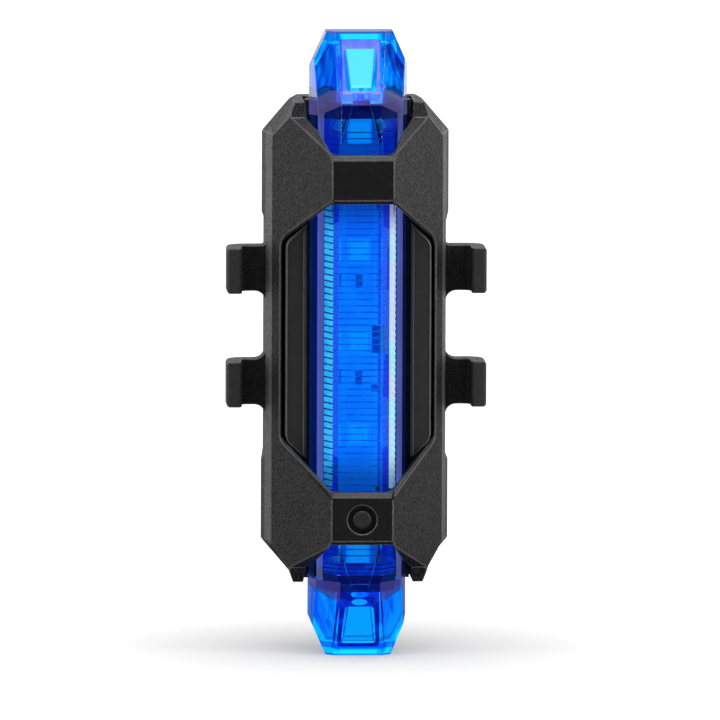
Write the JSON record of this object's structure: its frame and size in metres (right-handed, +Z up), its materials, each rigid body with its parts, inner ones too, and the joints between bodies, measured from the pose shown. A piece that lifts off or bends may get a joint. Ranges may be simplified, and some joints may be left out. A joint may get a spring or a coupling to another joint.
{
  "type": "bicycle tail light",
  "caption": "Strap-on bicycle tail light: faceted clear lens under an X-shaped black frame, side strap hooks, push button, curved back pad and covered charging port.",
  "frame": {"origin": "centre of the overall box in X and Y, at the lower lens tip that the light stands on", "axes": "+Z up along the light's length, +X to the right seen from the lamp side, +Y from the lamp side towards the seat post"},
  "size_m": [0.0308, 0.0222, 0.074],
  "materials": {
    "black_casing": "fine spark-textured injection-moulded black",
    "black_rubber": "soft matte black silicone",
    "blue_lens": "clear polished transparent blue plastic",
    "black_housing": "smooth matte black",
    "circuit_board": "white solder mask",
    "lamp_chip": "white chip with a clear dome",
    "small_part": "dark ceramic with tinned ends",
    "chip_body": "black moulded package",
    "switch_metal": "stamped steel",
    "switch_plastic": "black nylon",
    "button_plastic": "satin black",
    "foam": "white foam tape",
    "battery_foil": "crimped silver foil",
    "red_wire": "red insulation",
    "black_wire": "black insulation",
    "brass_pin": "tinned brass",
    "socket_steel": "folded sheet steel",
    "socket_plastic": "black",
    "screw_steel": "dark zinc-plated steel"
  },
  "bodies": {
    "casing": {"front_frame": "black_casing", "rear_cover": "black_casing", "saddle_pad": "black_rubber", "lens": "blue_lens", "lens_gasket": "black_rubber", "inner_housing": "black_housing", "main_board": "circuit_board", "led_chips": "lamp_chip", "led_resistors": "small_part", "driver_chip": "chip_body", "switch_body": "switch_metal", "button_seal": "black_rubber", "battery_tape": "foam", "battery_cell": "battery_foil", "battery_lead_red": "red_wire", "battery_lead_black": "black_wire", "charge_board": "circuit_board", "board_pins": "brass_pin", "usb_socket_shell": "socket_steel", "usb_contact_tongue": "socket_plastic", "charge_chip": "chip_body", "port_cover_anchor": "black_rubber", "cover_screws": "screw_steel"},
    "button": {"button_cap": "button_plastic", "switch_plunger": "switch_plastic"},
    "port_flap": {"port_cover": "black_rubber"}
  },
  "joints": [
    {"name": "button_press", "type": "slide", "parent": "casing", "child": "button", "axis": [0, 1, 0], "range_m": [0, 0.00035], "stiffness_N_per_m": 6000, "springref_m": -0.00015},
    {"name": "port_cover_hinge", "type": "hinge", "parent": "casing", "child": "port_flap", "pos_m": [0, 0.00707, 0.0126], "axis": [-1, 0, 0], "range_deg": [0, 110]}
  ]
}
